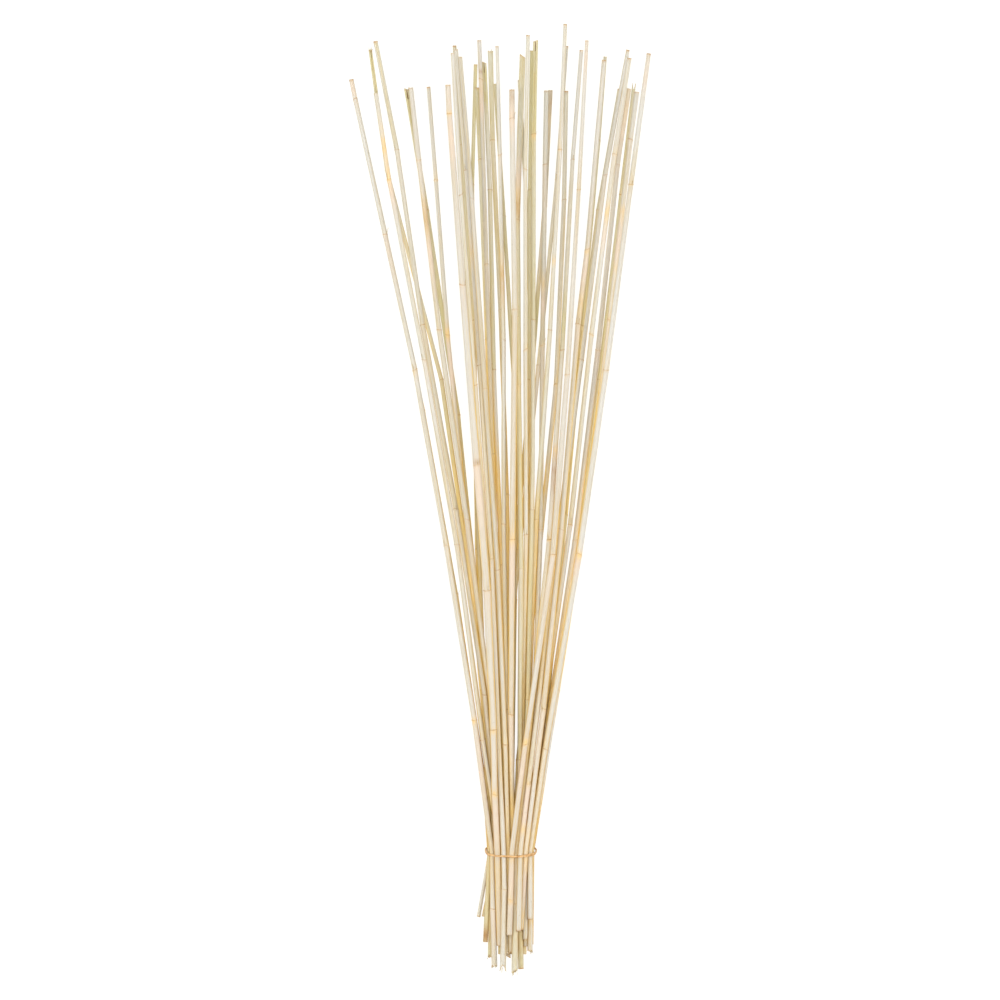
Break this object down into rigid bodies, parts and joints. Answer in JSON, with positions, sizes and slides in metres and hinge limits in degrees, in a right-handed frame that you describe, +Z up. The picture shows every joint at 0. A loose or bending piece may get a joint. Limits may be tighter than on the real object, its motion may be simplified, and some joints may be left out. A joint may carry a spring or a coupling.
{
  "type": "bunch of reeds",
  "caption": "Fan-shaped bunch of long, thin dried reeds with jointed nodes and cut ends, held near the butts by one narrow band and laid flat.",
  "frame": {"origin": "centre of the bunch's bounding box, on the surface that the bunch lies on", "axes": "+Y along the bunch towards the spread tips, +X across the bunch, +Z up from the surface"},
  "size_m": [0.3014, 0.9504, 0.0864],
  "materials": {
    "ivory_culm": "satin",
    "straw_culm": "satin",
    "blush_culm": "satin",
    "tie_band": "matte"
  },
  "bodies": {
    "root": {"reed_01": "ivory_culm", "reed_02": "straw_culm", "reed_03": "ivory_culm", "reed_04": "ivory_culm", "reed_05": "straw_culm", "reed_06": "blush_culm", "reed_07": "ivory_culm", "reed_08": "blush_culm", "reed_09": "ivory_culm", "reed_10": "straw_culm", "reed_11": "ivory_culm", "reed_12": "ivory_culm", "reed_13": "straw_culm", "reed_14": "straw_culm", "reed_15": "blush_culm", "reed_16": "ivory_culm", "reed_17": "straw_culm", "reed_18": "straw_culm", "reed_19": "ivory_culm", "reed_20": "blush_culm", "reed_21": "straw_culm", "reed_22": "ivory_culm", "reed_23": "straw_culm", "reed_24": "straw_culm", "reed_25": "straw_culm", "reed_26": "ivory_culm", "reed_27": "blush_culm", "reed_28": "ivory_culm", "reed_29": "ivory_culm", "reed_30": "ivory_culm", "reed_31": "ivory_culm", "reed_32": "blush_culm", "reed_33": "straw_culm", "reed_34": "blush_culm", "reed_35": "ivory_culm", "reed_36": "ivory_culm", "reed_37": "straw_culm", "reed_38": "blush_culm", "reed_39": "straw_culm", "reed_40": "ivory_culm", "reed_41": "ivory_culm", "reed_42": "straw_culm", "tie_band": "tie_band"}
  },
  "joints": []
}
